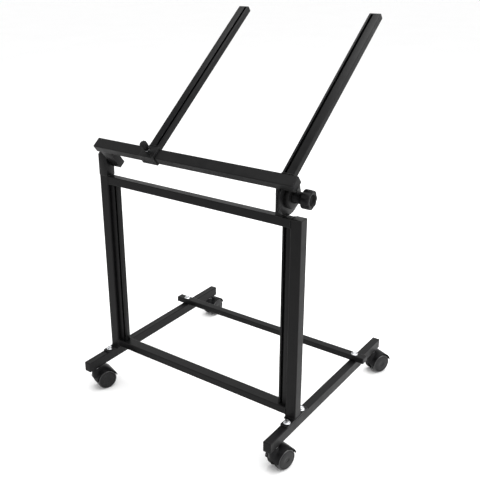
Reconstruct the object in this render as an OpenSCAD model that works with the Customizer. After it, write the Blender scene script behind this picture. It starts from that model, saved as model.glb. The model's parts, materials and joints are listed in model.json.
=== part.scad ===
// Rolling equipment stand: slotted mounting rails on a wheeled base, with a
// tilting head that carries one fixed arm and one arm that slides sideways.
// Millimetres. +X right, +Y back, +Z up. The origin is on the floor, under
// the middle of the base.

/* [Base] */
// Length of the two side rails, front to back
rail_l = 525; // [450:5:600]
// Width of a side rail
rail_w = 19; // [18:0.5:25]
// Height of a side rail
rail_h = 25; // [20:1:30]
// Height of the side rails' undersides above the floor
rail_z = 61; // [60.5:0.5:70]
// Length of the rear crossbar
rear_bar_l = 584; // [580:1:600]
// Depth of the rear crossbar, front to back
rear_bar_d = 21; // [18:1:30]
// Height of the rear crossbar
rear_bar_h = 15; // [12:1:25]
// Rear crossbar's back face to the rear ends of the side rails
rear_set = 116; // [90:1:180]

/* [Uprights] */
// Clear width between the slotted rails
inner_clear = 450; // [450:1:460]
// Width of a slotted upright rail
strip_w = 23; // [22:0.5:26]
// Depth of a slotted upright rail
strip_d = 12.5; // [11:0.5:15]
// How far the slotted rails sit behind the uprights' front faces
strip_set = 8; // [4:0.5:10]
// Width and depth of an upright tube
upright_w = 25; // [22:1:25]
// Front ends of the side rails to the uprights' front faces
upright_set = 97; // [90:1:120]
// Height of an upright tube
upright_h = 458; // [400:1:520]
// Depth and height of the top crossbar
top_bar = 20; // [18:1:24]
// Depth of the front crossbar
front_bar_d = 28; // [20:1:30]
// Height of the front crossbar
front_bar_h = 17.5; // [15:0.5:25]

/* [Tilting head] */
// Slope of the arms above the horizontal
tilt = 37.8; // [30:0.1:50]
// Length of the tilt bar
tilt_bar_l = 525; // [500:1:530]
// Middle of the tilt bar, to the right of the middle of the stand
tilt_bar_x = 8; // [0:1:10]
// Width of the tilt bar, along the slope
tilt_bar_w = 26; // [22:1:30]
// Thickness of the tilt bar, square to the slope
tilt_bar_t = 20; // [15:1:25]
// Pivot axis to the tilt bar's underside
bar_drop = 36; // [34:0.5:40]
// Height of the pivot axis above the uprights
pivot_up = 43; // [42:0.5:46]
// Length of an arm, from the tilt bar's back face
arm_l = 434; // [350:1:480]
// Width of an arm
arm_w = 27; // [25:0.5:28]
// Thickness of an arm
arm_t = 14; // [12:0.5:16]
// Inner side of the fixed right arm
arm_r_x = 233; // [225:1:240]
// Left side of the sliding left arm, where it is parked
arm_l_x = -100.5; // [-200:0.5:0]

/* [Casters] */
// Diameter of a caster wheel
wheel_d = 50; // [48:1:50]
// Swivel angle of each caster, from the front right anticlockwise as seen from above
caster_turn = [-14, -24, 0, -21]; // [-90:1:90]
// Stem axis to the end of the side rail
caster_set = 27; // [24:1:34]

/* [Hidden] */
$fn = 48;

paint = "#26272a";
plastic = "#1b1b1d";
zinc = "#b9bcc0";
brass = "#b08d4f";

wall = 1.5;
head_t = 1.5;
plate_t = 3;
fit_gap = 0.05;
eps = 0.01;

strip_x = inner_clear / 2;
upright_x = strip_x + strip_w;
out_x = upright_x + upright_w;
rail_x = out_x - rail_w;
rail_mid_x = out_x - rail_w / 2;
rail_top = rail_z + rail_h;
rail_y0 = -rail_l / 2;

upright_y = rail_y0 + upright_set;
upright_z = rail_top + plate_t;
upright_top = upright_z + upright_h;
foot_l = 88;
foot_pad_l = 36;
foot_mid_y = upright_y + upright_w / 2;
foot_bolt_gap = 60;
front_bar_y = upright_y + 0.5;
front_bar_lift = 3;
front_bar_z = upright_z + front_bar_lift;
front_bar_top = front_bar_z + front_bar_h;
rear_bar_y = rail_l / 2 - rear_set - rear_bar_d;
rear_mid_y = rear_bar_y + rear_bar_d / 2;
bolt_r = 3;
bolt_gap = 0.2;
hex_r = 6;
hex_h = 3.8;
flange_r = 8;
flange_t = 1.4;
foot_bolt_l = 16;
rear_bolt_l = 28;
nut_r = 5.8;
nut_t = 5;

// Corner radii of the tubes, and how far the plugs reach into them
tube_r = 2.2;
upright_r = 2.6;
plug_l = 12;
short_plug_l = 6;

// A slot runs the whole length of each slotted rail. The slots are 465 mm
// apart across the stand, which puts them 7.5 mm from the rails' inner edges.
slot_lip = 4.5;
slot_w = 6;
slot_wall = 1.8;

// The tilting head turns about a line along X
pivot_y = upright_y + upright_w / 2;
pivot_z = upright_top + pivot_up;
pivot_r = 5;
post_d = 20;
post_r_w = 16;
post_r_x = 212.5;
post_r_over = 17;
post_r_top = pivot_z + post_r_over;
post_l_x = -out_x;
post_l_r = 14;
stud_head_r = 9;
stud_head_t = 4;
ear_x = post_l_x + upright_w + 0.3;
ear_l = 28;
ear_end = 3;
ear_d = 18;
ear_under = 20;
disc_gap = 0.2;
fixed_disc_r = 35;
fixed_disc_t = 3.3;
disc_x = post_r_x + post_r_w + fixed_disc_t + disc_gap;
disc_r = 40;
disc_t = 7;
boss_r = 25;
boss_l = 10.5;
knob_x = disc_x + disc_t + boss_l + disc_gap;
knob_neck_r = 13.5;
knob_neck_l = 20.5;
knob_r = 20.5;
knob_t = 19;
knob_lobes = 8;
insert_r = 8;
insert_l = 22;
bar_x0 = tilt_bar_x - tilt_bar_l / 2;
bar_a = tilt_bar_w / 2;
bar_n1 = bar_drop + tilt_bar_t;

// The left arm slides along the tilt bar on a sleeve, open underneath so that
// it can pass the left pivot
sleeve_gap = 0.3;
sleeve_t = 2;
sleeve_l = 43;
sleeve_left = 13;
sleeve_x = arm_l_x - sleeve_left;
sleeve_a = bar_a + sleeve_gap + sleeve_t;
sleeve_top = bar_n1 + sleeve_gap + sleeve_t;
sleeve_slit = ear_d + 3;
gusset_t = 2;
thumb_set = 16.5;
thumb_x = sleeve_x + thumb_set;
thumb_a = 2;
thumb_r = 3;
thumb_nut_t = 3.5;
thumb_neck_z = sleeve_top + thumb_nut_t + 0.5;
thumb_neck_r = 5;
thumb_up = 16;
thumb_head_z = bar_n1 + thumb_up;
thumb_head_r = 8.5;
thumb_head_t = 12;

// Twin-wheel casters: the wheels' axle trails the stem
wheel_r = wheel_d / 2;
wheel_w = 13.8;
web_w = 10;
wheel_gap = 0.7;
trail = 22;
axle_r = 3;
stem_r = 5;
stem_z = wheel_r + 14;
socket_r = stem_r + 2.9;
socket_flange_r = 9.2;
socket_t = 1.2;
socket_h = 18;
swivel_gap = 0.2;
hood_t = 2.2;
hood_gap = 0.8;
hood_r = wheel_r + hood_gap + hood_t;
hood_w = web_w + 2 * (wheel_w + wheel_gap);
hood_cut = 6;
hood_over = 4;
head_r = 11;
head_foot = wheel_r + 9;
head_z = rail_z - socket_t - swivel_gap;
caster_at = [
    [rail_mid_x, rail_y0 + caster_set],
    [rail_mid_x, -rail_y0 - caster_set],
    [-rail_mid_x, -rail_y0 - caster_set],
    [-rail_mid_x, rail_y0 + caster_set]
];

// Rectangle with rounded corners, its corner at the origin
module round_rect(w, d, r) {
    translate([r, 0]) square([w - 2 * r, d]);
    translate([0, r]) square([w, d - 2 * r]);
    for (x = [r, w - r], y = [r, d - r]) translate([x, y]) circle(r);
}

// Rectangular tube standing on the XY plane
module tube(w, d, l, r = tube_r) {
    inner_r = r - wall + 0.3;
    linear_extrude(l) difference() {
        round_rect(w, d, r);
        translate([wall, wall]) round_rect(w - 2 * wall, d - 2 * wall, inner_r);
    }
}

// Tube laid along X, Y running back and Z up
module tube_x(d, h, l) {
    rotate([90, 0, 90]) tube(d, h, l);
}

// Tube laid along Y
module tube_y(w, h, l) {
    translate([0, l, 0]) rotate([90, 0, 0]) tube(w, h, l);
}

// Plastic plug for a tube of wall t: a thin head and a hollow shank, pointing +Z
module plug(w, d, shank = plug_l, t = wall) {
    inset = t + 0.2;
    rib = 1.5;
    linear_extrude(head_t) round_rect(w, d, tube_r);
    translate([inset, inset, -shank]) linear_extrude(shank + eps) difference() {
        round_rect(w - 2 * inset, d - 2 * inset, 1.3);
        translate([rib, rib]) square([w - 2 * (inset + rib), d - 2 * (inset + rib)]);
    }
}

// Slotted rail's section: a closed box with one slot in its front, which is at
// y = 0. The slot is nearer the section's left side.
module slot_section(w, d) {
    difference() {
        round_rect(w, d, 1.4);
        translate([slot_wall, slot_wall]) square([w - 2 * slot_wall, d - 2 * slot_wall]);
        translate([slot_lip, -1]) square([slot_w, slot_wall + 2]);
    }
}

// Hexagon-headed flange bolt whose flange sits on z = 0
module bolt(shank) {
    cylinder(r = flange_r, h = flange_t);
    translate([0, 0, flange_t]) cylinder(r = hex_r, h = hex_h, $fn = 6);
    translate([0, 0, -shank]) cylinder(r = bolt_r, h = shank);
}

module nut() {
    difference() {
        cylinder(r = nut_r, h = nut_t, $fn = 6);
        translate([0, 0, -1]) cylinder(r = bolt_r + fit_gap, h = nut_t + 2);
    }
}

// Children on the tilting head: x along the pivot, y up the slope, z square to it
module head() {
    translate([0, pivot_y, pivot_z]) rotate([tilt, 0, 0]) children();
}

// Children on the pivot line, not tilted
module at_pivot() {
    translate([0, pivot_y, pivot_z]) children();
}

// Cylinder along +X, starting at x
module rod_x(x, r, l) {
    translate([x, 0, 0]) rotate([0, 90, 0]) cylinder(r = r, h = l);
}

module both_sides() {
    children();
    mirror([1, 0, 0]) children();
}

// ---- Base ----

module rail() {
    difference() {
        translate([rail_x, rail_y0 + head_t, rail_z])
            tube_y(rail_w, rail_h, rail_l - 2 * head_t);
        for (y = [rail_y0 + caster_set, -rail_y0 - caster_set])
            translate([rail_mid_x, y, rail_z - 1]) cylinder(r = socket_r + 0.1, h = wall + 2);
        for (y = [foot_mid_y - foot_bolt_gap / 2, foot_mid_y + foot_bolt_gap / 2, rear_mid_y])
            translate([rail_mid_x, y, rail_top - wall - 1])
                cylinder(r = bolt_r + bolt_gap, h = wall + 2);
    }
}

module rail_right() {
    color(paint) rail();
}

module rail_left() {
    color(paint) mirror([1, 0, 0]) rail();
}

module rail_plugs() {
    color(plastic) both_sides() for (m = [0, 1]) mirror([0, m, 0])
        translate([rail_x, rail_y0 + head_t, rail_z])
            rotate([90, 0, 0]) plug(rail_w, rail_h);
}

module caster_sockets() {
    color(zinc) for (p = caster_at) translate([p[0], p[1], rail_z - socket_t]) difference() {
        union() {
            cylinder(r = socket_flange_r, h = socket_t);
            cylinder(r = socket_r, h = socket_t + socket_h);
        }
        translate([0, 0, -1]) cylinder(r = stem_r, h = socket_h + 1);
    }
}

// Plate under an upright, with a bolt tab at each end of the pad
module foot_plate() {
    difference() {
        translate([0, foot_mid_y, rail_top]) linear_extrude(plate_t) {
            translate([rail_x, -foot_l / 2]) round_rect(rail_w, foot_l, 3);
            translate([upright_x, -foot_pad_l / 2]) round_rect(upright_w, foot_pad_l, 2);
        }
        for (s = [-1, 1])
            translate([rail_mid_x, foot_mid_y + s * foot_bolt_gap / 2, rail_top - 1])
                cylinder(r = bolt_r + bolt_gap, h = plate_t + 2);
    }
}

module foot_plate_right() {
    color(paint) foot_plate();
}

module foot_plate_left() {
    color(paint) mirror([1, 0, 0]) foot_plate();
}

module foot_bolts() {
    color(zinc) both_sides() for (s = [-1, 1])
        translate([rail_mid_x, foot_mid_y + s * foot_bolt_gap / 2, upright_z])
            bolt(foot_bolt_l);
}

module base_nuts() {
    color(zinc) both_sides()
        for (y = [foot_mid_y - foot_bolt_gap / 2, foot_mid_y + foot_bolt_gap / 2, rear_mid_y])
            translate([rail_mid_x, y, rail_top - wall - nut_t]) nut();
}

module front_crossbar() {
    color(paint) translate([-upright_x, front_bar_y, front_bar_z])
        tube_x(front_bar_d, front_bar_h, 2 * upright_x);
}

module rear_crossbar() {
    tube_l = rear_bar_l - 2 * head_t;
    color(paint) difference() {
        translate([-tube_l / 2, rear_bar_y, rail_top]) tube_x(rear_bar_d, rear_bar_h, tube_l);
        both_sides() translate([rail_mid_x, rear_mid_y, rail_top - 1])
            cylinder(r = bolt_r + bolt_gap, h = rear_bar_h + 2);
    }
}

module rear_bar_plugs() {
    color(plastic) both_sides()
        translate([rear_bar_l / 2 - head_t, rear_bar_y, rail_top])
            rotate([90, 0, 90]) plug(rear_bar_d, rear_bar_h);
}

module rear_bolts() {
    color(zinc) both_sides()
        translate([rail_mid_x, rear_mid_y, rail_top + rear_bar_h]) bolt(rear_bolt_l);
}

// ---- Uprights ----

module upright_right() {
    color(paint) translate([upright_x, upright_y, upright_z])
        tube(upright_w, upright_w, upright_h - head_t, upright_r);
}

module upright_left() {
    color(paint) translate([-out_x, upright_y, upright_z])
        tube(upright_w, upright_w, upright_h, upright_r);
}

module upright_cap() {
    color(paint) translate([upright_x, upright_y, upright_top - head_t])
        plug(upright_w, upright_w);
}

module slot_rail() {
    translate([strip_x, upright_y + strip_set, front_bar_top])
        linear_extrude(upright_top - top_bar - front_bar_top) slot_section(strip_w, strip_d);
}

module slot_rail_right() {
    color(paint) slot_rail();
}

module slot_rail_left() {
    color(paint) mirror([1, 0, 0]) slot_rail();
}

module top_crossbar() {
    color(paint) translate([-upright_x, upright_y, upright_top - top_bar])
        tube_x(top_bar, top_bar, 2 * upright_x);
}

// ---- Pivots ----

module pivot_post_right() {
    color(paint) difference() {
        translate([post_r_x, upright_y, upright_top])
            tube(post_r_w, post_d, post_r_top - head_t - upright_top);
        at_pivot() rod_x(post_r_x - 1, pivot_r + fit_gap, post_r_w + 2);
    }
}

module post_cap() {
    color(plastic) translate([post_r_x, upright_y, post_r_top - head_t])
        plug(post_r_w, post_d, short_plug_l);
}

// Flat-sided post with its top rounded about the pivot
module pivot_post_left() {
    color(paint) difference() {
        intersection() {
            translate([post_l_x, upright_y, upright_top])
                cube([upright_w, upright_w, pivot_up + post_l_r]);
            union() {
                translate([post_l_x, upright_y, upright_top])
                    cube([upright_w, upright_w, pivot_up]);
                at_pivot() rod_x(post_l_x, post_l_r, upright_w);
            }
        }
        at_pivot() rod_x(post_l_x - 1, pivot_r + fit_gap, upright_w + 2);
    }
}

module pivot_bolt_left() {
    color(zinc) at_pivot() {
        rod_x(post_l_x - stud_head_t, stud_head_r, stud_head_t);
        rod_x(post_l_x, pivot_r, ear_x + ear_l - ear_end - 0.5 - post_l_x);
    }
}

module pivot_stud_right() {
    color(zinc) at_pivot() {
        rod_x(post_r_x - stud_head_t, stud_head_r, stud_head_t);
        rod_x(post_r_x, pivot_r, knob_x + insert_l - post_r_x);
    }
}

module fixed_disc() {
    color(paint) at_pivot() difference() {
        rod_x(post_r_x + post_r_w, fixed_disc_r, fixed_disc_t);
        rod_x(post_r_x + post_r_w - 1, pivot_r + fit_gap, fixed_disc_t + 2);
    }
}

// ---- Tilting head ----

module tilt_bar() {
    color(paint) head() translate([bar_x0 + head_t, -bar_a, bar_drop])
        tube_x(tilt_bar_w, tilt_bar_t, tilt_bar_l - 2 * head_t);
}

module tilt_bar_plugs() {
    color(plastic) head() for (m = [0, 1])
        translate([tilt_bar_x, 0, 0]) mirror([m, 0, 0])
            translate([tilt_bar_l / 2 - head_t, -bar_a, bar_drop])
                rotate([90, 0, 90]) plug(tilt_bar_w, tilt_bar_t);
}

// Block under the tilt bar that turns on the left bolt
module pivot_ear_left() {
    color(paint) head() difference() {
        translate([ear_x, -ear_d / 2, -ear_under]) cube([ear_l, ear_d, bar_drop + ear_under]);
        rod_x(ear_x - 1, pivot_r + fit_gap, ear_l - ear_end + 1);
    }
}

// Clutch disc, with a flat where it is welded to the tilt bar and a turned rim
module clutch_disc() {
    groove_d = 3;
    groove_w = 1.6;
    color(paint) head() difference() {
        rod_x(disc_x, disc_r, disc_t);
        rod_x(disc_x - 1, pivot_r + fit_gap, disc_t + 2);
        translate([disc_x - 1, -disc_r, bar_drop]) cube([disc_t + 2, 2 * disc_r, disc_r]);
        translate([disc_x + groove_w, 0, 0]) rotate([0, 90, 0]) difference() {
            cylinder(r = disc_r + 1, h = groove_w);
            translate([0, 0, -1]) cylinder(r = disc_r - groove_d, h = groove_w + 2);
        }
    }
}

module pivot_boss() {
    color(paint) at_pivot() difference() {
        rod_x(disc_x + disc_t, boss_r, boss_l);
        rod_x(disc_x + disc_t - 1, pivot_r + fit_gap, boss_l + 2);
    }
}

module arm_right() {
    color(paint) head() translate([arm_r_x, bar_a, bar_n1])
        rotate([-90, 0, 0]) linear_extrude(arm_l - head_t) slot_section(arm_w, arm_t);
}

module arm_plug_right() {
    color(plastic) head() translate([arm_r_x, bar_a + arm_l - head_t, bar_n1])
        rotate([-90, 0, 0]) plug(arm_w, arm_t, short_plug_l, slot_wall);
}

// ---- Star knob ----

module star_knob() {
    lobe_r = 5.5;
    recess_r = 11;
    recess_d = 6;
    head_x = knob_x + knob_neck_l;
    color(plastic) at_pivot() difference() {
        union() {
            rod_x(knob_x, knob_neck_r, knob_neck_l + 1);
            rod_x(head_x, knob_r - 3, knob_t);
            for (i = [0:knob_lobes - 1]) rotate([i * 360 / knob_lobes, 0, 0])
                translate([0, 0, knob_r - lobe_r]) rod_x(head_x, lobe_r, knob_t);
        }
        rod_x(knob_x - 1, insert_r, insert_l + 1);
        rod_x(head_x + knob_t - recess_d, recess_r, recess_d + 1);
    }
}

module knob_insert() {
    color(brass) at_pivot() difference() {
        rod_x(knob_x, insert_r - 0.02, insert_l - 0.2);
        rod_x(knob_x - 1, pivot_r + fit_gap, insert_l + 2);
    }
}

// ---- Sliding arm ----

module arm_sleeve() {
    inner_a = bar_a + sleeve_gap;
    color(paint) head() difference() {
        translate([sleeve_x, -sleeve_a, bar_drop - sleeve_gap - sleeve_t])
            cube([sleeve_l, 2 * sleeve_a, tilt_bar_t + 2 * (sleeve_gap + sleeve_t)]);
        translate([sleeve_x - 1, -inner_a, bar_drop - sleeve_gap])
            cube([sleeve_l + 2, 2 * inner_a, tilt_bar_t + 2 * sleeve_gap]);
        translate([sleeve_x - 1, -sleeve_slit / 2, bar_drop - sleeve_gap - sleeve_t - 1])
            cube([sleeve_l + 2, sleeve_slit, sleeve_t + 2]);
        translate([thumb_x, thumb_a, bar_n1]) cylinder(r = thumb_r + fit_gap, h = 5);
    }
}

module sleeve_gusset() {
    x0 = arm_l_x;
    x1 = sleeve_x + sleeve_l - 1.5;
    color(paint) head() difference() {
        translate([0, 0, sleeve_top]) linear_extrude(gusset_t) polygon([
            [x0, sleeve_a], [x1, sleeve_a], [x1, -sleeve_a], [x1 - 4, -sleeve_a], [x0 + 6, 2]
        ]);
        translate([thumb_x, thumb_a, sleeve_top - 1]) cylinder(r = 6, h = gusset_t + 2);
    }
}

module thumb_nut() {
    color(zinc) head() translate([thumb_x, thumb_a, sleeve_top]) difference() {
        cylinder(r = 5.5, h = thumb_nut_t);
        translate([0, 0, -1]) cylinder(r = thumb_r + fit_gap, h = thumb_nut_t + 2);
    }
}

module arm_left() {
    color(paint) head() translate([arm_l_x + arm_w, sleeve_a, sleeve_top + gusset_t])
        mirror([1, 0, 0]) rotate([-90, 0, 0])
            linear_extrude(arm_l + bar_a - sleeve_a - head_t) slot_section(arm_w, arm_t);
}

module arm_plug_left() {
    color(plastic) head()
        translate([arm_l_x, bar_a + arm_l - head_t, sleeve_top + gusset_t])
            rotate([-90, 0, 0]) plug(arm_w, arm_t, short_plug_l, slot_wall);
}

module thumb_screw() {
    screw_z = bar_n1 + 0.2;
    color(zinc) head() translate([thumb_x, thumb_a, screw_z])
        cylinder(r = thumb_r, h = thumb_head_z - screw_z);
}

module thumb_knob() {
    color(plastic) head() translate([thumb_x, thumb_a, 0]) difference() {
        union() {
            translate([0, 0, thumb_neck_z])
                cylinder(r = thumb_neck_r, h = thumb_head_z - thumb_neck_z + 1);
            translate([0, 0, thumb_head_z]) cylinder(r = thumb_head_r, h = thumb_head_t);
        }
        translate([0, 0, thumb_neck_z - 1])
            cylinder(r = thumb_r + 0.02, h = thumb_head_z - thumb_neck_z + 1);
        for (i = [0:7]) rotate([0, 0, 45 * i])
            translate([thumb_head_r + 2, 0, thumb_head_z - 1]) cylinder(r = 3, h = thumb_head_t + 2);
    }
}

// ---- Casters ----

// Children in caster k's own frame: the stem at the origin, the axle along X
module caster(k) {
    p = caster_at[k - 1];
    translate([p[0], p[1], 0]) rotate([0, 0, caster_turn[k - 1]]) children();
}

module on_axle() {
    translate([0, trail, wheel_r]) children();
}

module caster_stem(k) {
    color(zinc) caster(k) translate([0, 0, stem_z])
        cylinder(r = stem_r - fit_gap, h = rail_z + socket_h - 3 - stem_z);
}

// Web between the wheels, a hood over their tops and a round head on the stem
module caster_hood(k) {
    gap_r = wheel_r + hood_gap;
    color(plastic) caster(k) difference() {
        union() {
            on_axle() intersection() {
                rod_x(-hood_w / 2, hood_r, hood_w);
                rotate([hood_cut, 0, 0]) translate([-hood_w, -2 * hood_r, hood_over])
                    cube([2 * hood_w, 4 * hood_r, 2 * hood_r]);
            }
            on_axle() rod_x(-web_w / 2, wheel_r - 4, web_w);
            translate([0, 0, head_foot]) cylinder(r = head_r, h = head_z - head_foot);
            translate([-web_w / 2, 0, wheel_r]) cube([web_w, trail, hood_r - 8]);
        }
        for (m = [0, 1]) mirror([m, 0, 0]) on_axle() rod_x(web_w / 2, gap_r, hood_w);
        translate([0, 0, stem_z]) cylinder(r = stem_r, h = head_z);
        on_axle() rod_x(-hood_w, axle_r + 0.02, 2 * hood_w);
    }
}

module caster_axle(k) {
    axle_l = web_w + 2 * (wheel_gap + wheel_w - 3);
    color(zinc) caster(k) on_axle() rod_x(-axle_l / 2, axle_r, axle_l);
}

// Wheel with a domed outer face, rounded tread and a hollow inner side
module wheel() {
    edge_r = 4;
    rim_t = 5;
    hub_r = 8;
    on_axle() rotate([0, 90, 0]) translate([0, 0, web_w / 2 + wheel_gap]) rotate_extrude()
        difference() {
            union() {
                square([wheel_r, wheel_w - edge_r]);
                square([wheel_r - edge_r, wheel_w]);
                translate([wheel_r - edge_r, wheel_w - edge_r]) circle(edge_r);
            }
            translate([hub_r, -1]) square([wheel_r - rim_t - hub_r, wheel_w - 4]);
            translate([-1, -1]) square([axle_r + fit_gap + 1, wheel_w - 1.5]);
            translate([-wheel_r, -1]) square([wheel_r, wheel_w + 2]);
        }
}

module caster_wheel_right(k) {
    color(plastic) caster(k) wheel();
}

module caster_wheel_left(k) {
    color(plastic) caster(k) mirror([1, 0, 0]) wheel();
}

rail_left();
rail_right();
rail_plugs();
caster_sockets();
foot_plate_left();
foot_plate_right();
foot_bolts();
base_nuts();
upright_left();
upright_right();
upright_cap();
slot_rail_left();
slot_rail_right();
front_crossbar();
top_crossbar();
rear_crossbar();
rear_bar_plugs();
rear_bolts();
pivot_post_left();
pivot_post_right();
post_cap();
pivot_bolt_left();
pivot_stud_right();
fixed_disc();
tilt_bar();
tilt_bar_plugs();
pivot_ear_left();
clutch_disc();
pivot_boss();
arm_right();
arm_plug_right();
arm_sleeve();
sleeve_gusset();
thumb_nut();
arm_left();
arm_plug_left();
thumb_knob();
thumb_screw();
star_knob();
knob_insert();
for (k = [1:4]) {
    caster_stem(k);
    caster_hood(k);
    caster_axle(k);
    caster_wheel_left(k);
    caster_wheel_right(k);
}
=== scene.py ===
import json
import math
import random

import bmesh
import bpy
from mathutils import Matrix, Vector

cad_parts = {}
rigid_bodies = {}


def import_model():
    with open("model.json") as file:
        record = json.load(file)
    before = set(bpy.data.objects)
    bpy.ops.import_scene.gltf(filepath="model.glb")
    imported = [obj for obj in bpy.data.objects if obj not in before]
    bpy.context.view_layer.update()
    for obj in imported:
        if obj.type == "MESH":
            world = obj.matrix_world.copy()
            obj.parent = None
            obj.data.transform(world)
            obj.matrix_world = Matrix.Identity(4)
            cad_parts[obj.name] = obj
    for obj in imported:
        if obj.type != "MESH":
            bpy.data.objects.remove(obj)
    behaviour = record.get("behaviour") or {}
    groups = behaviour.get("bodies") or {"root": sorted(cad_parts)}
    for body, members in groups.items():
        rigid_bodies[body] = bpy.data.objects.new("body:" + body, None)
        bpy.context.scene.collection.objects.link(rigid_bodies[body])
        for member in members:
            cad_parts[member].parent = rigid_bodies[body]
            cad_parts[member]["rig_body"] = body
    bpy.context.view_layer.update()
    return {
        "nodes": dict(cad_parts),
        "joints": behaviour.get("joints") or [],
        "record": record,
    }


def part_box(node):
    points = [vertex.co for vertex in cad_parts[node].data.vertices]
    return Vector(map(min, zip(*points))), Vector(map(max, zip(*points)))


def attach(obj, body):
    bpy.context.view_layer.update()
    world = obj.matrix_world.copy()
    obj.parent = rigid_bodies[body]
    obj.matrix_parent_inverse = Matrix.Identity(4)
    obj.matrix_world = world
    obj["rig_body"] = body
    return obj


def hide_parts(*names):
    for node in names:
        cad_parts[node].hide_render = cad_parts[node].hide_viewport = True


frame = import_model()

NODES = frame["nodes"]
JOINTS = {j["name"]: j for j in frame["joints"]}
CASTERS = (1, 2, 3, 4)
MM = 0.001
MERGE = 2e-6
WHEEL_RADIUS = 25 * MM
CAP_HEAD = 1.5 * MM
LOOP_BEAD = 1.2 * MM
FULL_TURN = 2 * math.pi
random.seed(7)


# ---- Materials ----

def shader(name, colour, roughness, **sockets):
    """A Principled material, its uniform values set on the shader itself."""
    mat = bpy.data.materials.new(name)
    mat.use_nodes = True
    bsdf = mat.node_tree.nodes["Principled BSDF"]
    bsdf.inputs["Base Color"].default_value = (*colour, 1)
    bsdf.inputs["Roughness"].default_value = roughness
    for key, value in sockets.items():
        bsdf.inputs[key.replace("_", " ")].default_value = value
    return mat, mat.node_tree, bsdf


def noise(tree, scale, detail=4.0, rough=0.55, stretch=(1, 1, 1)):
    """Noise in object space, whose scale is in lumps per metre."""
    coords = tree.nodes.new("ShaderNodeTexCoord")
    place = tree.nodes.new("ShaderNodeMapping")
    place.inputs["Scale"].default_value = stretch
    tex = tree.nodes.new("ShaderNodeTexNoise")
    tex.inputs["Scale"].default_value = scale
    tex.inputs["Detail"].default_value = detail
    tex.inputs["Roughness"].default_value = rough
    tree.links.new(coords.outputs["Object"], place.inputs["Vector"])
    tree.links.new(place.outputs["Vector"], tex.inputs["Vector"])
    return tex.outputs["Fac"]


def ramp(tree, fac, low, high, start=0.35, end=0.65):
    """Maps a 0 to 1 value onto the range from low to high."""
    node = tree.nodes.new("ShaderNodeMapRange")
    node.inputs["From Min"].default_value = start
    node.inputs["From Max"].default_value = end
    node.inputs["To Min"].default_value = low
    node.inputs["To Max"].default_value = high
    tree.links.new(fac, node.inputs["Value"])
    return node.outputs["Result"]


def mix(tree, fac, first, second):
    """Blends two colours, each a tuple or a socket."""
    node = tree.nodes.new("ShaderNodeMix")
    node.data_type = "RGBA"
    tree.links.new(fac, node.inputs["Factor"])
    for key, value in ((6, first), (7, second)):
        if isinstance(value, tuple):
            node.inputs[key].default_value = (*value, 1)
        else:
            tree.links.new(value, node.inputs[key])
    return node.outputs[2]


def add_bump(tree, bsdf, layers):
    """Stacks bump layers, each (height, strength, depth in metres)."""
    normal = None
    for height, strength, depth in layers:
        node = tree.nodes.new("ShaderNodeBump")
        node.inputs["Strength"].default_value = strength
        node.inputs["Distance"].default_value = depth
        tree.links.new(height, node.inputs["Height"])
        if normal is not None:
            tree.links.new(normal, node.inputs["Normal"])
        normal = node.outputs["Normal"]
    tree.links.new(normal, bsdf.inputs["Normal"])


def edge_mask(tree, radius, gain):
    """About 1 where the surface turns within radius metres, and 0 on a flat."""
    bevel = tree.nodes.new("ShaderNodeBevel")
    bevel.samples = 4
    bevel.inputs["Radius"].default_value = radius
    geometry = tree.nodes.new("ShaderNodeNewGeometry")
    dot = tree.nodes.new("ShaderNodeVectorMath")
    dot.operation = "DOT_PRODUCT"
    tree.links.new(bevel.outputs["Normal"], dot.inputs[0])
    tree.links.new(geometry.outputs["Normal"], dot.inputs[1])
    return ramp(tree, dot.outputs["Value"], 1.0, 0.0, 1.0 - gain, 1.0)


def powder_coat():
    """Semi-gloss black powder coat: orange peel, faint dust and rubbed edges."""
    mat, tree, bsdf = shader("powder_coat", (0.0055, 0.0055, 0.0057), 0.38, Specular_IOR_Level=0.10)
    peel = noise(tree, 900, 2.0)
    grain = noise(tree, 3200, 2.0)
    dust = noise(tree, 34, 5.0, 0.62)
    wear = edge_mask(tree, 0.0011, 0.10)
    scuffs = tree.nodes.new("ShaderNodeMath")
    scuffs.operation = "MULTIPLY"
    tree.links.new(wear, scuffs.inputs[0])
    tree.links.new(ramp(tree, noise(tree, 160, 5.0, 0.7), 0.15, 1.0, 0.40, 0.62), scuffs.inputs[1])
    dusted = mix(tree, ramp(tree, dust, 0.0, 0.5), (0.0042, 0.0042, 0.0044), (0.0080, 0.0079, 0.0080))
    tree.links.new(mix(tree, scuffs.outputs[0], dusted, (0.055, 0.055, 0.056)), bsdf.inputs["Base Color"])
    tree.links.new(ramp(tree, dust, 0.31, 0.45), bsdf.inputs["Roughness"])
    add_bump(tree, bsdf, [(peel, 0.10, 0.00025), (grain, 0.05, 0.0001)])
    return mat


def moulded_plastic():
    """Fine-textured black plastic for plugs, knobs and caster hoods."""
    mat, tree, bsdf = shader("moulded_plastic", (0.004, 0.004, 0.0042), 0.42, Specular_IOR_Level=0.10)
    texture = noise(tree, 4200, 2.0)
    flow = noise(tree, 60, 4.0)
    wear = edge_mask(tree, 0.0009, 0.12)
    base = mix(tree, ramp(tree, flow, 0.0, 1.0), (0.0030, 0.0030, 0.0034), (0.0062, 0.0062, 0.0066))
    tree.links.new(mix(tree, ramp(tree, wear, 0.0, 0.7, 0.0, 1.0), base, (0.022, 0.022, 0.023)),
                   bsdf.inputs["Base Color"])
    tree.links.new(ramp(tree, flow, 0.34, 0.50), bsdf.inputs["Roughness"])
    add_bump(tree, bsdf, [(texture, 0.16, 0.00012)])
    return mat


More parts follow.
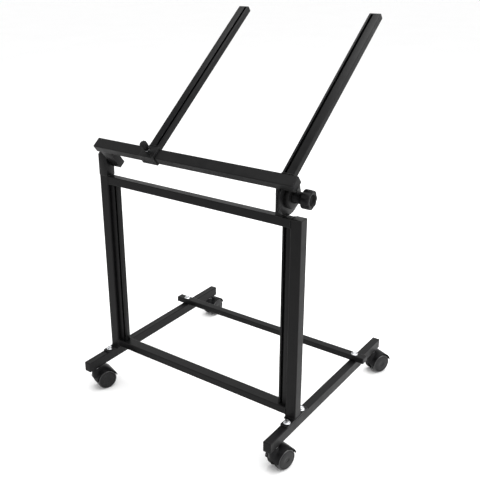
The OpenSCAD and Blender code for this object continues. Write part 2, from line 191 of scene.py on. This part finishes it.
def glossy_plastic():
    """Polished black plastic of the wheels' faces, with faint scratches."""
    mat, tree, bsdf = shader("glossy_plastic", (0.0035, 0.0035, 0.004), 0.2, Specular_IOR_Level=0.20)
    haze = noise(tree, 120, 5.0, 0.6)
    scratch = noise(tree, 700, 3.0, 0.7, (1, 0.06, 1))
    base = mix(tree, ramp(tree, haze, 0.0, 1.0), (0.0035, 0.0035, 0.004), (0.0075, 0.0075, 0.008))
    tree.links.new(base, bsdf.inputs["Base Color"])
    tree.links.new(ramp(tree, haze, 0.12, 0.26), bsdf.inputs["Roughness"])
    add_bump(tree, bsdf, [(scratch, 0.05, 0.0001)])
    return mat


def tread_plastic():
    """Duller rolling surface of the wheels, scuffed by the floor."""
    mat, tree, bsdf = shader("tread_plastic", (0.006, 0.006, 0.006), 0.5, Specular_IOR_Level=0.14)
    scuff = noise(tree, 240, 6.0, 0.65)
    base = mix(tree, ramp(tree, scuff, 0.0, 1.0), (0.0045, 0.0045, 0.0045), (0.0125, 0.0123, 0.012))
    tree.links.new(base, bsdf.inputs["Base Color"])
    tree.links.new(ramp(tree, scuff, 0.38, 0.62), bsdf.inputs["Roughness"])
    add_bump(tree, bsdf, [(scuff, 0.15, 0.0002)])
    return mat


def rim_painted_shade():
    """Near-black matte of the hoods' lips, painted shade standing in for the dark gap between hood and
    wheel, with a faint random dust tone.
    """
    mat, tree, bsdf = shader("rim_painted_shade", (0.0016, 0.0016, 0.0018), 0.6, Specular_IOR_Level=0.04)
    dust = noise(tree, 300, 5.0, 0.6)
    # Painted shade: this near-black base stands in for the shadow in the gap round the wheels.
    base = mix(tree, ramp(tree, dust, 0.0, 1.0), (0.0010, 0.0010, 0.0011), (0.0028, 0.0028, 0.0029))
    tree.links.new(base, bsdf.inputs["Base Color"])
    tree.links.new(ramp(tree, dust, 0.52, 0.70), bsdf.inputs["Roughness"])
    add_bump(tree, bsdf, [(dust, 0.12, 0.0001)])
    return mat


def polished_shoulder():
    """Brightly polished rounded edge of a moulded wheel."""
    mat, tree, bsdf = shader("polished_shoulder", (0.0035, 0.0035, 0.004), 0.1, Specular_IOR_Level=0.55)
    haze = noise(tree, 160, 5.0, 0.6)
    base = mix(tree, ramp(tree, haze, 0.0, 1.0), (0.003, 0.003, 0.0034), (0.006, 0.006, 0.0064))
    tree.links.new(base, bsdf.inputs["Base Color"])
    tree.links.new(ramp(tree, haze, 0.08, 0.18), bsdf.inputs["Roughness"])
    add_bump(tree, bsdf, [(haze, 0.04, 0.0001)])
    return mat


def zinc_plate():
    """Bright zinc plating with a brushed, slightly blue and uneven lustre."""
    mat, tree, bsdf = shader("zinc_plate", (0.60, 0.61, 0.64), 0.27, Metallic=1.0)
    cloud = noise(tree, 380, 5.0, 0.6)
    brushed = noise(tree, 1500, 3.0, 0.6, (0.15, 1, 1))
    tree.links.new(mix(tree, ramp(tree, cloud, 0.0, 1.0), (0.48, 0.50, 0.54), (0.72, 0.72, 0.71)),
                   bsdf.inputs["Base Color"])
    tree.links.new(ramp(tree, cloud, 0.2, 0.38), bsdf.inputs["Roughness"])
    add_bump(tree, bsdf, [(brushed, 0.12, 0.0001)])
    return mat


def turned_brass():
    """Brass with fine turning marks, for the star knob's insert."""
    mat, tree, bsdf = shader("turned_brass", (0.43, 0.27, 0.08), 0.3, Metallic=1.0)
    turned = noise(tree, 900, 3.0, 0.5, (1, 0.2, 0.2))
    tree.links.new(mix(tree, ramp(tree, turned, 0.0, 1.0), (0.36, 0.22, 0.06), (0.52, 0.34, 0.12)),
                   bsdf.inputs["Base Color"])
    tree.links.new(ramp(tree, turned, 0.22, 0.4), bsdf.inputs["Roughness"])
    add_bump(tree, bsdf, [(turned, 0.1, 0.0001)])
    return mat


MATERIALS = {
    "frame_paint": powder_coat(),
    "black_plastic": moulded_plastic(),
    "wheel_plastic": glossy_plastic(),
    "zinc_plate": zinc_plate(),
    "brass": turned_brass(),
}
TREAD = tread_plastic()
# Painted shade for the hoods' lips, in place of the dark gap round the wheels.
RIM_PAINTED_SHADE = rim_painted_shade()
SHOULDER = polished_shoulder()


def paint_nodes():
    """Every CAD node takes the material of its slot in the record."""
    for part in frame["record"]["subparts"]:
        mesh = NODES[part["node"]].data
        mesh.materials.clear()
        mesh.materials.append(MATERIALS[part["material_slot"]])


paint_nodes()


# ---- Mesh helpers ----

def new_piece(name, body, slot, bm, replaced=(), smooth_angle=35, materials=()):
    """Makes a piece from bm that rides on body and takes its finish from slot."""
    bmesh.ops.recalc_face_normals(bm, faces=bm.faces)
    mesh = bpy.data.meshes.new(name)
    bm.to_mesh(mesh)
    bm.free()
    for mat in materials or (MATERIALS[slot],):
        mesh.materials.append(mat)
    for poly in mesh.polygons:
        poly.use_smooth = True
    mesh.set_sharp_from_angle(angle=math.radians(smooth_angle))
    obj = bpy.data.objects.new(name, mesh)
    bpy.context.scene.collection.objects.link(obj)
    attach(obj, body)
    if replaced:
        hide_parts(*replaced)
    return obj


def soften(node, width, segments=2, angle=28):
    """Replaces a CAD node with the same shape, its sharp edges rounded by width metres."""
    source = NODES[node]
    body = source["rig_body"]
    slot = next(p["material_slot"] for p in frame["record"]["subparts"] if p["node"] == node)
    bm = bmesh.new()
    bm.from_mesh(source.data)
    bmesh.ops.remove_doubles(bm, verts=bm.verts, dist=MERGE)
    bmesh.ops.dissolve_limit(bm, angle_limit=math.radians(0.6), verts=bm.verts, edges=bm.edges)
    sharp = [e for e in bm.edges if e.is_manifold and e.calc_face_angle(0) > math.radians(angle)]
    bmesh.ops.bevel(bm, geom=sharp, offset=width, segments=segments, profile=0.5,
                    affect="EDGES", clamp_overlap=True)
    return new_piece(node + "_fine", body, slot, bm, (node,))


def rings_to_mesh(bm, rings):
    """Skins rings of points, each with the same count, into a capped tube."""
    made = [[bm.verts.new(p) for p in ring] for ring in rings]
    count = len(made[0])
    for low, high in zip(made, made[1:]):
        for i in range(count):
            j = (i + 1) % count
            bm.faces.new((low[i], low[j], high[j], high[i]))
    bm.faces.new(reversed(made[0]))
    bm.faces.new(made[-1])


def arc(cx, cy, radius, start, end, count):
    """Points on an arc, angles in degrees."""
    points = []
    for i in range(count + 1):
        a = math.radians(start + (end - start) * i / count)
        points.append((cx + radius * math.cos(a), cy + radius * math.sin(a)))
    return points


def lathe(bm, profile, place, segments=72, lobes=None):
    """Turns a closed profile of (radius, height) about local Z. lobes scales the radius."""
    start = len(bm.verts)
    grid = []
    for k in range(segments):
        a = FULL_TURN * k / segments
        column = []
        for r, z in profile:
            s = lobes(a, r, z) if lobes else r
            column.append(bm.verts.new(place @ Vector((s * math.cos(a), s * math.sin(a), z))))
        grid.append(column)
    n = len(profile)
    for k in range(segments):
        a, b = grid[k], grid[(k + 1) % segments]
        for i in range(n):
            j = (i + 1) % n
            bm.faces.new((a[i], b[i], b[j], a[j]))
    bmesh.ops.remove_doubles(bm, verts=bm.verts[start:] if start else bm.verts, dist=1e-7)
    bmesh.ops.dissolve_degenerate(bm, dist=1e-7, edges=bm.edges)


def circle(centre, out, side, radius):
    """Ten points round centre, in the plane of the unit vectors out and side."""
    return [centre + (out * math.cos(t) + side * math.sin(t)) * radius
            for t in (FULL_TURN * j / 10 for j in range(10))]


def frame_of(axis, origin):
    """A placement whose local Z runs along axis."""
    z = Vector(axis).normalized()
    x = Vector((0, 0, 1)).cross(z)
    if x.length < 1e-6:
        x = Vector((1, 0, 0))
    x.normalize()
    y = z.cross(x)
    rot = Matrix((x, y, z)).transposed().to_4x4()
    return Matrix.Translation(Vector(origin)) @ rot


# ---- Camera, light and floor ----

def camera():
    """The viewpoint in front of the stand's right side, in metres and degrees."""
    place = Vector((0.9228, -1.3119, 1.0509))
    yaw, pitch, roll = (math.radians(d) for d in (37.381, 21.068, -0.958))
    level = math.cos(pitch)
    forward = Vector((-math.sin(yaw) * level, math.cos(yaw) * level, -math.sin(pitch)))
    right = Vector((math.cos(yaw), math.sin(yaw), 0))
    up = right.cross(forward)
    right, up = (right * math.cos(roll) + up * math.sin(roll),
                 up * math.cos(roll) - right * math.sin(roll))
    data = bpy.data.cameras.new("camera")
    data.sensor_width = 36
    data.lens = 54.39
    data.shift_x = 0.066
    data.shift_y = -0.0325
    data.clip_end = 100
    obj = bpy.data.objects.new("camera", data)
    obj.matrix_world = Matrix.Translation(place) @ Matrix((right, up, -forward)).transposed().to_4x4()
    bpy.context.scene.collection.objects.link(obj)
    bpy.context.scene.camera = obj


def softbox(name, place, target, size, power):
    """A rectangular area light at place that faces target."""
    data = bpy.data.lights.new(name, "AREA")
    data.shape = "RECTANGLE"
    data.size, data.size_y = size
    data.energy = power
    obj = bpy.data.objects.new(name, data)
    obj.location = place
    aim = Vector(target) - Vector(place)
    obj.rotation_euler = aim.to_track_quat("-Z", "Y").to_euler()
    bpy.context.scene.collection.objects.link(obj)


def studio():
    """A white floor under a soft overhead light, with a softbox on the right."""
    world = bpy.data.worlds.new("studio")
    bpy.context.scene.world = world
    world.use_nodes = True
    background = world.node_tree.nodes["Background"]
    background.inputs["Color"].default_value = (1.0, 1.0, 1.0, 1)
    background.inputs["Strength"].default_value = 1.06
    softbox("overhead", (0.3, 0.5, 2.6), (0, 0.1, 0.3), (2.4, 2.4), 60)
    softbox("right", (2.4, 0.4, 0.9), (0, 0, 0.2), (1.6, 1.4), 24)
    bpy.ops.mesh.primitive_plane_add(size=80, location=(0, 0, 0))
    floor = bpy.context.object
    floor.name = "floor"
    mat, tree, bsdf = shader("floor", (0.93, 0.93, 0.93), 0.6, Specular_IOR_Level=0.2)
    tone = noise(tree, 2.0)
    base = mix(tree, ramp(tree, tone, 0.0, 1.0), (0.925, 0.925, 0.925), (0.935, 0.935, 0.935))
    tree.links.new(base, bsdf.inputs["Base Color"])
    floor.data.materials.append(mat)
    bpy.context.scene.view_settings.view_transform = "Standard"


camera()
studio()


# ---- Frame details ----

SOFT_EDGES = {
    "foot_plate_left": 0.6, "foot_plate_right": 0.6,
    "pivot_post_left": 1.8, "fixed_disc": 0.7, "clutch_disc": 0.5, "pivot_boss": 1.2,
    "pivot_ear_left": 1.2, "arm_sleeve": 0.7, "sleeve_gusset": 0.5,
    "slot_rail_left": 0.3, "slot_rail_right": 0.3, "arm_left": 0.3, "arm_right": 0.3,
}


def soften_nodes():
    """Rounds the sharp edges of the plates, posts, discs and slotted bars."""
    for node, width in SOFT_EDGES.items():
        soften(node, width * MM)


def split_boxes(node):
    """The separate solids of a node, each as its lowest and highest corner."""
    bm = bmesh.new()
    bm.from_mesh(NODES[node].data)
    bmesh.ops.remove_doubles(bm, verts=bm.verts, dist=MERGE)
    seen = set()
    boxes = []
    for first in bm.verts:
        if first in seen:
            continue
        stack, island = [first], []
        seen.add(first)
        while stack:
            v = stack.pop()
            island.append(v.co.copy())
            for e in v.link_edges:
                w = e.other_vert(v)
                if w not in seen:
                    seen.add(w)
                    stack.append(w)
        low = Vector([min(p[i] for p in island) for i in range(3)])
        high = Vector([max(p[i] for p in island) for i in range(3)])
        boxes.append((low, high))
    bm.free()
    return boxes


def six_sided(angle):
    """How far a hexagon's side lies in, as a share of its corner's radius."""
    return math.cos(math.pi / 6) / math.cos((angle % (math.pi / 3)) - math.pi / 6)


def flange_bolt(bm, place, shank):
    """Hexagon flange bolt: a domed flange, a chamfered head with a dished top, and a shank."""
    shank_r = 2.95 * MM
    flange = [(0, -0.2), (6.9, -0.2), (7.9, 0.1), (8.1, 0.5), (7.8, 0.9), (6.6, 1.6), (5.9, 2.0), (0, 2.0)]
    lathe(bm, [(r * MM, z * MM) for r, z in flange], place, 48)
    hexagon = [(0, 1.6), (6.0, 1.6), (6.15, 1.9), (6.15, 4.2), (5.7, 4.9), (4.6, 5.25), (3.6, 5.25),
               (2.9, 4.9), (0, 4.7)]

    def head_side(angle, r, z):
        if r <= 5.0 * MM:
            return r
        wave = six_sided(angle)
        return r * (wave if z < 4.5 * MM else (wave + 1) / 2)

    lathe(bm, [(r * MM, z * MM) for r, z in hexagon], place, 48, head_side)
    rod = [(0, -shank), (2.7 * MM, -shank), (shank_r, -shank + 0.5 * MM), (shank_r, 0), (0, 0)]
    lathe(bm, rod, place, 24)


def bolts(node):
    """Flange bolts in place of a node's plain ones, each turned by a chance angle."""
    bm = bmesh.new()
    head = 5.2 * MM
    for low, high in split_boxes(node):
        centre = (low + high) / 2
        place = Matrix.Translation((centre.x, centre.y, high.z - head))
        turn = Matrix.Rotation(random.uniform(0, 1), 4, "Z")
        flange_bolt(bm, place @ turn, high.z - head - low.z)
    new_piece(node + "_fine", "root", "zinc_plate", bm, (node,), 30)


def rounded_outline(half_w, half_d, radius, steps=5):
    """A rounded rectangle about the origin, as points going round once."""
    points = []
    for cx, cy, start in ((1, 1, 0), (-1, 1, 90), (-1, -1, 180), (1, -1, 270)):
        points += arc(cx * (half_w - radius), cy * (half_d - radius), radius, start, start + 90, steps)
    return points


def pillow_cap(bm, place, width, depth):
    """A crowned plug head with its foot at local z = 0 and its top at CAP_HEAD."""
    rings = []
    for inset, z in ((0.35 * MM, -2.0 * MM), (0, 0), (0, CAP_HEAD - 0.9 * MM),
                     (0.25 * MM, CAP_HEAD - 0.45 * MM), (0.8 * MM, CAP_HEAD - 0.15 * MM),
                     (2.2 * MM, CAP_HEAD)):
        radius = max(2.2 * MM - inset * 0.8, 0.8 * MM)
        outline = rounded_outline(width / 2 - inset, depth / 2 - inset, radius)
        rings.append([place @ Vector((x, y, z)) for x, y in outline])
    rings_to_mesh(bm, rings)


def end_caps():
    """Crowned caps on the ends of the rails, the rear bar, the right upright and the right post."""
    bm = bmesh.new()
    for node in ("rail_left", "rail_right"):
        low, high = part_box(node)
        centre = (low + high) / 2
        for end, sign in ((low.y, -1), (high.y, 1)):
            place = frame_of((0, sign, 0), (centre.x, end, centre.z))
            pillow_cap(bm, place, high.x - low.x, high.z - low.z)
    new_piece("rail_caps", "root", "black_plastic", bm, ("rail_plugs",))
    bm = bmesh.new()
    low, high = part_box("rear_crossbar")
    centre = (low + high) / 2
    for end, sign in ((low.x, -1), (high.x, 1)):
        place = frame_of((sign, 0, 0), (end, centre.y, centre.z))
        pillow_cap(bm, place, high.y - low.y, high.z - low.z)
    new_piece("rear_bar_caps", "root", "black_plastic", bm, ("rear_bar_plugs",))
    for node, piece, slot in (("upright_right", "upright_cap", "frame_paint"),
                              ("pivot_post_right", "post_cap", "black_plastic")):
        bm = bmesh.new()
        low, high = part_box(node)
        centre = (low + high) / 2
        place = Matrix.Translation((centre.x, centre.y, high.z))
        pillow_cap(bm, place, high.x - low.x, high.y - low.y)
        new_piece(piece + "_fine", "root", slot, bm, (piece,))


def tilt_frame():
    """Placement of the tilting head: X along the pivot, Y up the slope, Z square to it."""
    pivot = Vector(JOINTS["tilt_hinge"]["pos_m"])
    normal = Vector(JOINTS["thumb_screw_turn"]["axis"]).normalized()
    slope = normal.cross(Vector((1, 0, 0)))
    rot = Matrix((Vector((1, 0, 0)), slope, normal)).transposed().to_4x4()
    return Matrix.Translation(pivot) @ rot


HEAD = tilt_frame()


def head_box(node):
    """A node's box along the tilting head's own axes."""
    inverse = HEAD.inverted()
    points = [inverse @ v.co for v in NODES[node].data.vertices]
    low = Vector([min(p[i] for p in points) for i in range(3)])
    high = Vector([max(p[i] for p in points) for i in range(3)])
    return low, high


def tilt_bar_caps():
    """Crowned caps on the tilt bar's two ends and on the arms' upper ends."""
    bm = bmesh.new()
    low, high = head_box("tilt_bar")
    centre = (low + high) / 2
    for end, sign in ((low.x, -1), (high.x, 1)):
        place = HEAD @ frame_of((sign, 0, 0), (end, centre.y, centre.z))
        pillow_cap(bm, place, high.y - low.y, high.z - low.z)
    new_piece("tilt_bar_caps", "head", "black_plastic", bm, ("tilt_bar_plugs",))
    for side, body in (("right", "head"), ("left", "sliding_arm")):
        bm = bmesh.new()
        low, high = head_box("arm_" + side)
        centre = (low + high) / 2
        place = HEAD @ frame_of((0, 1, 0), (centre.x, high.y, centre.z))
        pillow_cap(bm, place, high.x - low.x, high.z - low.z)
        new_piece("arm_cap_" + side, body, "black_plastic", bm, ("arm_plug_" + side,))


# ---- Knobs ----

def star_knob():
    """Eight-lobed clamping knob on a flared neck, with a dished outer face."""
    low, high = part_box("star_knob")
    pivot = Vector(JOINTS["tilt_hinge"]["pos_m"])
    place = frame_of((1, 0, 0), (low.x, pivot.y, pivot.z))
    length = high.x - low.x
    neck = 13.2 * MM
    outer = (high.z - low.z) / 2
    head = length - 19 * MM
    profile = [(8 * MM, 0), (neck - 0.8 * MM, 0), (neck, 0.8 * MM), (neck - 0.9 * MM, 6 * MM),
               (neck - 1.2 * MM, head - 5 * MM), (neck + 0.6 * MM, head - 2.2 * MM),
               (outer - 3.4 * MM, head - 0.6 * MM), (outer - 1.2 * MM, head + 0.9 * MM),
               (outer, head + 3.4 * MM), (outer, length - 4.2 * MM), (outer - 1.0 * MM, length - 1.6 * MM),
               (outer - 3.2 * MM, length - 0.2 * MM), (outer - 5.0 * MM, length),
               (outer - 8.0 * MM, length - 0.3 * MM), (outer - 9.2 * MM, length - 1.4 * MM),
               (outer - 9.8 * MM, length - 5.6 * MM), (outer - 10.6 * MM, length - 6.2 * MM),
               (0, length - 6.2 * MM), (0, 21.6 * MM), (8 * MM, 21.6 * MM)]

    def lobed(angle, r, z):
        reach = min(max((r - 13.5 * MM) / (outer - 13.5 * MM), 0), 1)
        return r - 2.9 * MM * reach * (0.5 - 0.5 * math.cos(8 * angle)) ** 1.4

    bm = bmesh.new()
    lathe(bm, profile, place, 144, lobed)
    new_piece("star_knob_fine", "knob_turn", "black_plastic", bm, ("star_knob",), 50)


def thumb_knob():
    """Small fluted knob of the thumb screw, with a slim neck and a domed top."""
    low, high = head_box("thumb_knob")
    centre = (low + high) / 2
    place = HEAD @ Matrix.Translation((centre.x, centre.y, low.z))
    outer = (high.x - low.x) / 2 + 0.25 * MM
    length = high.z - low.z
    head = length - 14 * MM
    profile = [(3.02 * MM, 0), (4.6 * MM, 0), (5.0 * MM, 0.5 * MM), (4.7 * MM, head - 2.5 * MM),
               (5.4 * MM, head - 1.0 * MM), (outer - 1.4 * MM, head), (outer - 0.2 * MM, head + 1.2 * MM),
               (outer, head + 2.6 * MM), (outer, length - 2.8 * MM), (outer - 0.6 * MM, length - 1.2 * MM),
               (outer - 2.0 * MM, length - 0.3 * MM), (outer - 4.5 * MM, length), (0, length + 0.1 * MM),
               (0, head - 0.2 * MM), (3.02 * MM, head - 0.2 * MM)]

    def fluted(angle, r, z):
        reach = min(max((r - 5.6 * MM) / (outer - 5.6 * MM), 0), 1)
        return r - 1.1 * MM * reach * abs(math.sin(5 * angle)) ** 3

    bm = bmesh.new()
    lathe(bm, profile, place, 160, fluted)
    new_piece("thumb_knob_fine", "thumb_turn", "black_plastic", bm, ("thumb_knob",), 50)


# ---- Casters ----

def wheel(side, k):
    """Moulded wheel: ribbed tread, a stepped glossy face and a shallow hub dimple."""
    joint = JOINTS["roll_%s_%d" % (side, k)]
    node = "caster_wheel_%s_%d" % (side, k)
    axis = Vector(joint["axis"]) * (1 if side == "right" else -1)
    centre = Vector(joint["pos_m"])
    reach = [(v.co - centre).dot(axis) for v in NODES[node].data.vertices]
    place = frame_of(axis, centre + axis * min(reach))
    width = max(reach) - min(reach)
    radius = WHEEL_RADIUS
    inner_r = 2.6 * MM
    shoulder_r = 3.9 * MM
    groove_r = radius - 0.35 * MM
    tread = arc(radius - inner_r, inner_r, inner_r, -80, 0, 6)
    for i in range(3):
        z = 3.3 * MM + i * (width - 8.6 * MM) / 3
        tread += [(radius, z), (groove_r, z + 0.25 * MM), (groove_r, z + 0.75 * MM), (radius, z + 1.0 * MM)]
    shoulder = arc(radius - shoulder_r, width - shoulder_r - 0.4 * MM, shoulder_r, 0, 78, 8)
    face = [(20.4 * MM, width - 0.35 * MM), (20.0 * MM, width - 0.9 * MM), (19.4 * MM, width - 0.9 * MM),
            (19.0 * MM, width - 0.5 * MM), (13.0 * MM, width - 0.1 * MM), (6.5 * MM, width),
            (5.6 * MM, width - 0.2 * MM), (5.0 * MM, width - 0.8 * MM), (0, width - 1.0 * MM)]
    back = [(0, width - 2.6 * MM), (3.05 * MM, width - 2.6 * MM), (3.05 * MM, 0), (8 * MM, 0),
            (8.2 * MM, width - 5 * MM), (19.6 * MM, width - 5 * MM), (20 * MM, 0)]
    bm = bmesh.new()
    lathe(bm, tread + shoulder + face + back, place, 96)
    piece = new_piece(node + "_fine", "wheel_%s_%d" % (side, k), "wheel_plastic", bm, (node,), 32,
                      (MATERIALS["wheel_plastic"], TREAD, SHOULDER))
    inverse = place.inverted()
    for poly in piece.data.polygons:
        local = inverse @ poly.center
        out = math.hypot(local.x, local.y)
        if out > radius - 2.7 * MM and local.z < width - 4.2 * MM:
            poly.material_index = 1
        elif out > radius - 3.6 * MM and local.z > width - 4.3 * MM:
            poly.material_index = 2


def hood_rims_painted_shade(k):
    """Rounded lips along both sides of a hood, round the wheels' shoulders, in a near-black matte that
    paints the shade of the gap between hood and wheel.
    """
    lip_r = 1.0 * MM
    arc_r = WHEEL_RADIUS + 1.95 * MM
    first, sweep, steps = 15.5, 161, 56
    joint = JOINTS["roll_right_%d" % k]
    axis, centre = Vector(joint["axis"]).normalized(), Vector(joint["pos_m"])
    back = Vector((0, 0, 1)).cross(axis)
    reach = max(abs((v.co - centre).dot(axis)) for v in NODES["caster_hood_%d" % k].data.vertices)
    bm = bmesh.new()
    for side in (-1, 1):
        face = centre + axis * side * (reach - 0.2 * MM)
        rings = []
        for a in (math.radians(first + sweep * i / steps) for i in range(steps + 1)):
            out = back * math.cos(a) + Vector((0, 0, 1)) * math.sin(a)
            rings.append(circle(face + out * arc_r, out, axis, lip_r))
        rings_to_mesh(bm, rings)
    # The lips carry painted shade: their dark material stands in for the shadow gap round the wheels.
    new_piece("hood_rims_%d" % k, "caster_%d" % k, "black_plastic", bm, (), 40, (RIM_PAINTED_SHADE,))


def casters():
    """The wheels and hoods of all four casters."""
    for k in CASTERS:
        soften("caster_hood_%d" % k, 0.5 * MM, 2, 40)
        hood_rims_painted_shade(k)
        for side in ("left", "right"):
            wheel(side, k)


# ---- Threads, nuts and studs ----

def ridged(start, end, radius, pitch, depth):
    """Profile points of a screw thread drawn as rings."""
    points = []
    turns = int((end - start) / pitch)
    for i in range(turns):
        z = start + i * pitch
        points += [(radius - depth, z), (radius, z + pitch * 0.4), (radius, z + pitch * 0.55)]
    return points


def thumb_thread():
    """The thumb screw's shank, ridged from end to end."""
    low, high = head_box("thumb_screw")
    centre = (low + high) / 2
    place = HEAD @ Matrix.Translation((centre.x, centre.y, low.z))
    length = high.z - low.z
    profile = [(0, 0), (2.2 * MM, 0), *ridged(0.4 * MM, length - 0.6 * MM, 3 * MM, 1 * MM, 0.45 * MM),
               (2.5 * MM, length), (0, length)]
    bm = bmesh.new()
    lathe(bm, profile, place, 32)
    new_piece("thumb_thread", "thumb_turn", "zinc_plate", bm, ("thumb_screw",), 50)


def weld_nut():
    """Hexagon nut on the sliding sleeve, where the thumb screw enters."""
    low, high = head_box("thumb_nut")
    centre = (low + high) / 2
    place = HEAD @ Matrix.Translation((centre.x, centre.y, low.z))
    height = high.z - low.z
    profile = [(3.05 * MM, 0), (5.4 * MM, 0), (5.5 * MM, 0.4 * MM), (5.5 * MM, height - 0.7 * MM),
               (4.9 * MM, height), (3.6 * MM, height), (3.05 * MM, height - 0.5 * MM)]

    def nut_side(angle, r, z):
        return r * six_sided(angle) if r > 5.2 * MM else r

    bm = bmesh.new()
    lathe(bm, profile, place, 48, nut_side)
    new_piece("weld_nut", "sliding_arm", "zinc_plate", bm, ("thumb_nut",), 30)


def pivot_stud(node, thread_end):
    """Round-headed stud along X, its last thread_end metres ridged."""
    low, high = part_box(node)
    centre = (low + high) / 2
    place = frame_of((1, 0, 0), (low.x, centre.y, centre.z))
    length = high.x - low.x
    head_r = (high.z - low.z) / 2
    dome = [(0, 0), (head_r * 0.45, 0.15 * MM), (head_r * 0.75, 0.9 * MM), (head_r * 0.94, 2.1 * MM),
            (head_r, 3.2 * MM), (head_r, 4 * MM), (5 * MM, 4 * MM)]
    thread = ridged(length - thread_end, length - 0.8 * MM, 5 * MM, 1.5 * MM, 0.6 * MM)
    bm = bmesh.new()
    lathe(bm, [*dome, (5 * MM, length - thread_end), *thread, (4.2 * MM, length), (0, length)], place, 48)
    new_piece(node + "_fine", "root", "zinc_plate", bm, (node,), 45)


# ---- Welds ----

def bead(bm, points, size):
    """A rippled weld bead of half-width size along a path, tapered at its ends."""
    path = [points[0]]
    for a, b in zip(points, points[1:]):
        steps = max(1, round((b - a).length / (0.9 * MM)))
        path += [a.lerp(b, i / steps) for i in range(1, steps + 1)]
    closed = (path[0] - path[-1]).length < 1e-6
    if closed:
        path = path[:-1]
    total = len(path)
    rings = []
    for i, p in enumerate(path):
        before = path[i - 1] if i or closed else p
        after = path[(i + 1) % total] if i < total - 1 or closed else p
        along = (after - before).normalized()
        side = along.orthogonal().normalized()
        over = along.cross(side)
        taper = 1 if closed else min(1, 0.25 + min(i, total - 1 - i) / 4)
        r = size * taper * (1 + 0.10 * math.sin(i * 2.1) + random.uniform(-0.05, 0.05))
        rings.append(circle(p, side, over, r))
    made = [[bm.verts.new(q) for q in ring] for ring in rings]
    if closed:
        made.append(made[0])
    for low, high in zip(made, made[1:]):
        shift = 0
        if low is not high:
            shift = min(range(10), key=lambda n: sum((low[j].co - high[(j + n) % 10].co).length
                                                     for j in range(10)))
        for j in range(10):
            a, b = low[j], low[(j + 1) % 10]
            c, d = high[(j + 1 + shift) % 10], high[(j + shift) % 10]
            bm.faces.new((a, b, c, d))
    if not closed:
        bm.faces.new(reversed(made[0]))
        bm.faces.new(made[-1])


def loop_bead(bm, place, width, depth, size):
    """A bead round a rounded rectangle that is centred on place's XY plane."""
    outline = rounded_outline(width / 2, depth / 2, 2.2 * MM)
    points = [place @ Vector((x, y, 0)) for x, y in outline]
    bead(bm, points + [points[0]], size)


def frame_welds():
    """Beads at the feet of the uprights and post, the crossbars' ends and along the slotted rails."""
    bm = bmesh.new()
    for node in ("upright_left", "upright_right", "pivot_post_right"):
        low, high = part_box(node)
        centre = (low + high) / 2
        size = 1.1 * MM if node.startswith("upright") else 1.8 * MM
        place = Matrix.Translation((centre.x, centre.y, low.z + 0.3 * MM))
        loop_bead(bm, place, high.x - low.x, high.y - low.y, size)
    for node in ("front_crossbar", "top_crossbar"):
        low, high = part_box(node)
        centre = (low + high) / 2
        for end in (low.x + 0.2 * MM, high.x - 0.2 * MM):
            place = frame_of((1, 0, 0), (end, centre.y, centre.z))
            loop_bead(bm, place, high.y - low.y, high.z - low.z, LOOP_BEAD)
    stitches = 6
    half_stitch = Vector((0, 0, 9 * MM))
    for node in ("slot_rail_left", "slot_rail_right"):
        low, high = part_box(node)
        seam = low.x if abs(low.x) > abs(high.x) else high.x
        for i in range(stitches):
            middle = Vector((seam, high.y - 0.4 * MM, low.z + (high.z - low.z) * (i + 0.5) / stitches))
            bead(bm, [middle - half_stitch, middle + half_stitch], 1.3 * MM)
    new_piece("frame_welds", "root", "frame_paint", bm, (), 60)


def head_welds():
    """Beads where the fixed arm, the left ear and the clutch disc meet the tilt bar."""
    bm = bmesh.new()
    bar_low, bar_high = head_box("tilt_bar")
    under = bar_low.z - 0.3 * MM
    low, high = head_box("arm_right")
    centre = (low + high) / 2
    place = HEAD @ frame_of((0, 1, 0), (centre.x, bar_high.y + 0.2 * MM, centre.z))
    loop_bead(bm, place, high.x - low.x, high.z - low.z, LOOP_BEAD)
    low, high = head_box("pivot_ear_left")
    for y in (low.y, high.y):
        bead(bm, [HEAD @ Vector((x, y, under)) for x in (low.x, high.x)], 0.9 * MM)
    low, high = head_box("clutch_disc")
    disc_radius = 40 * MM
    reach = min(math.sqrt(disc_radius ** 2 - bar_low.z ** 2), bar_high.y)
    for x in (low.x, high.x):
        bead(bm, [HEAD @ Vector((x, y, under)) for y in (-reach, reach)], 1.5 * MM)
    new_piece("head_welds", "head", "frame_paint", bm, (), 60)


def arm_welds():
    """The bead round the foot of the sliding arm."""
    bm = bmesh.new()
    low, high = head_box("arm_left")
    centre = (low + high) / 2
    place = HEAD @ frame_of((0, 1, 0), (centre.x, low.y + 0.3 * MM, centre.z))
    loop_bead(bm, place, high.x - low.x, high.z - low.z, LOOP_BEAD)
    new_piece("arm_welds", "sliding_arm", "frame_paint", bm, (), 60)


soften_nodes()
bolts("foot_bolts")
bolts("rear_bolts")
end_caps()
tilt_bar_caps()
star_knob()
thumb_knob()
thumb_thread()
weld_nut()
pivot_stud("pivot_bolt_left", 12 * MM)
pivot_stud("pivot_stud_right", 24 * MM)
frame_welds()
head_welds()
arm_welds()
casters()
